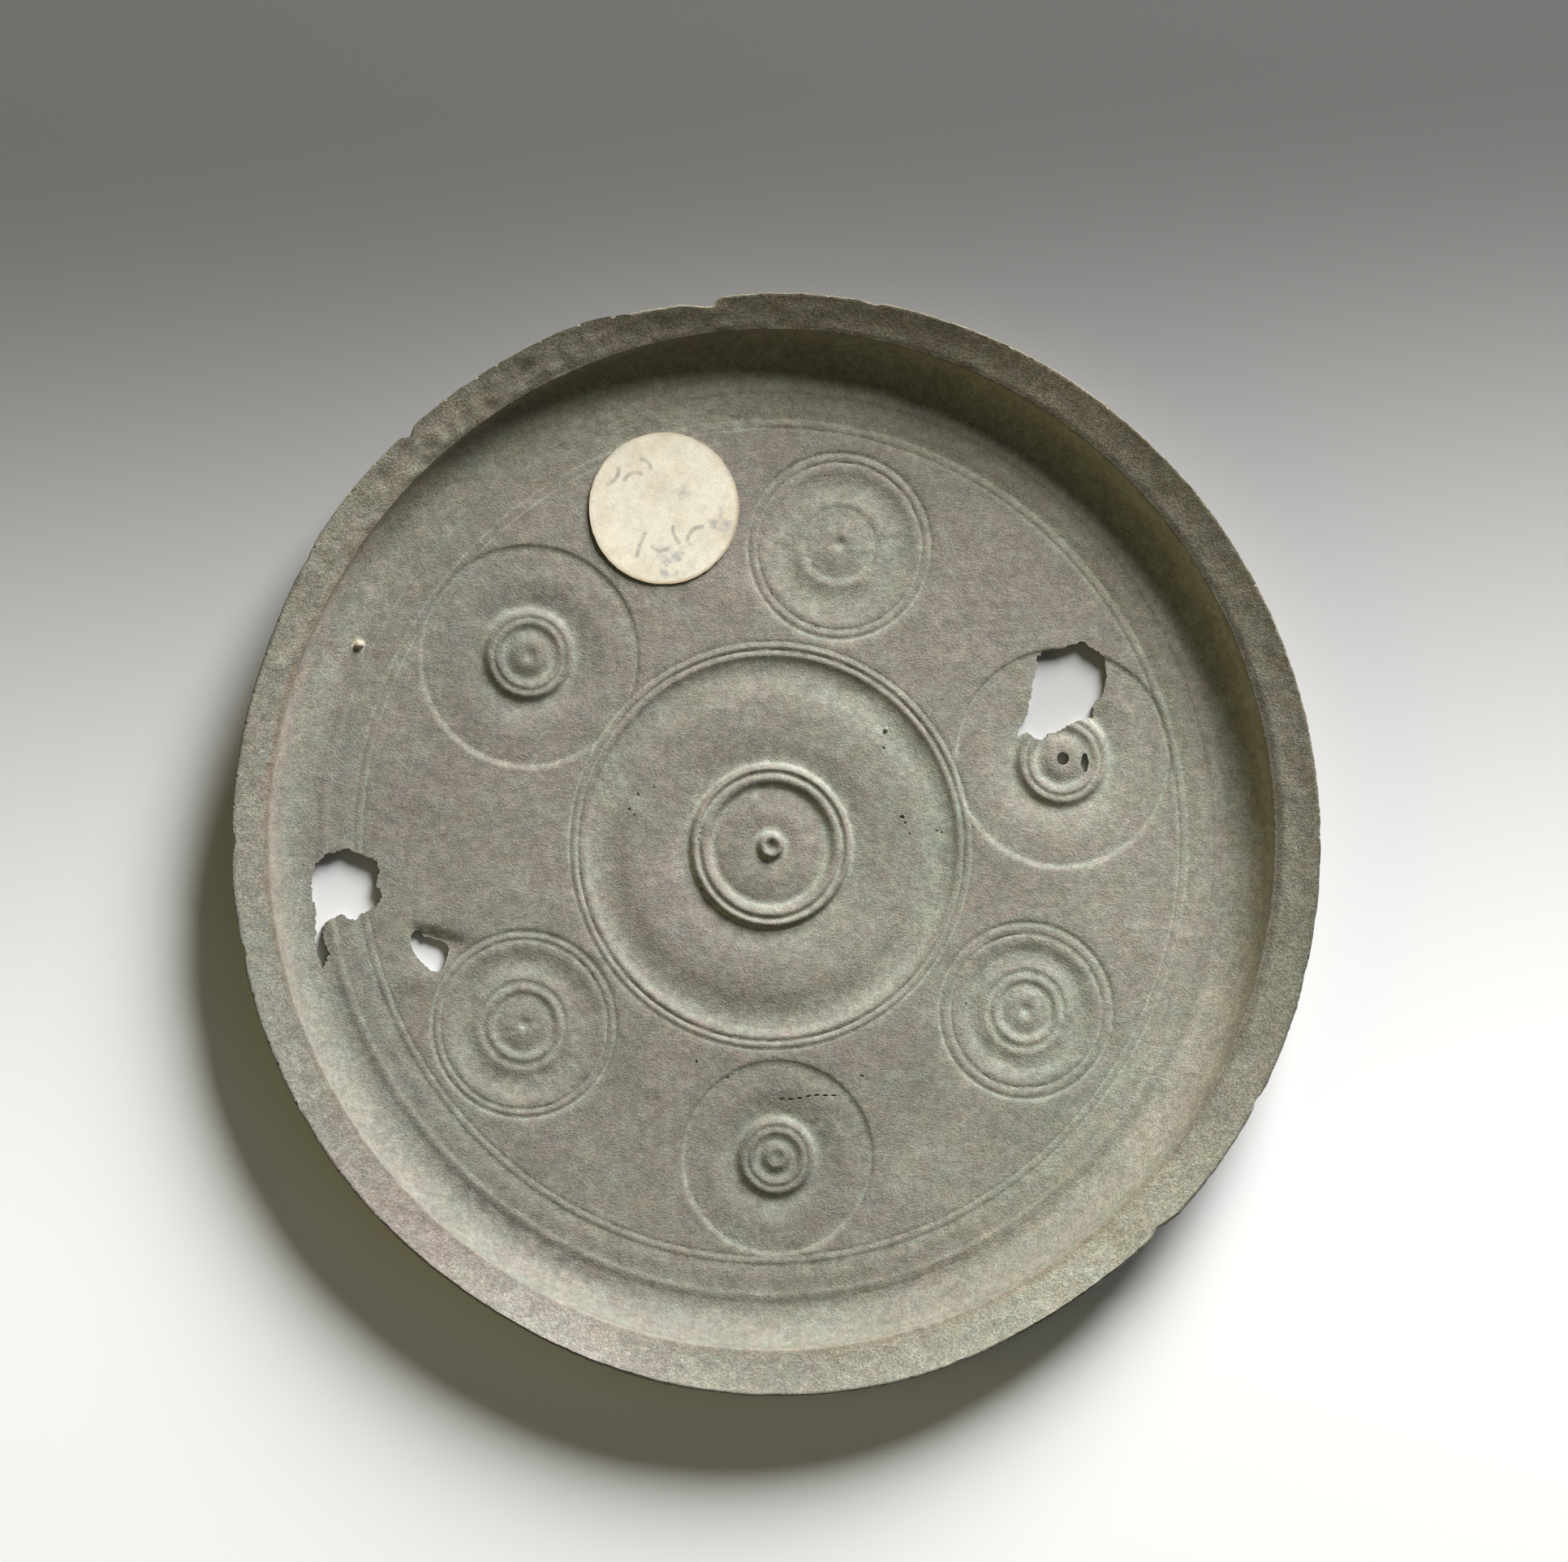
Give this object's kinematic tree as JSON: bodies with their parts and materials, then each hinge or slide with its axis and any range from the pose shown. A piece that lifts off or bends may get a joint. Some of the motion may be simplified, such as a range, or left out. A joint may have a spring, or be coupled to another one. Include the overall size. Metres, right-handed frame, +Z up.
{
  "type": "bronze mirror",
  "caption": "Ancient round bronze mirror: a thin disc with an upturned rim, its back turned with a central medallion ringed by roundels, and eaten through in places.",
  "frame": {"origin": "centre of the underside, on the turning axis, where the reflecting face rests", "axes": "+Z up through the decorated back, +Y towards the sticker's side, +X to the right"},
  "size_m": [0.1381, 0.138, 0.0079],
  "materials": {
    "bronze": "dull grey-brown patina with a fine sandy grain and pale green in the turned lines",
    "card": "aged matt cream card"
  },
  "bodies": {
    "root": {"bronze_mirror": "bronze", "paper_sticker": "card"}
  },
  "joints": []
}
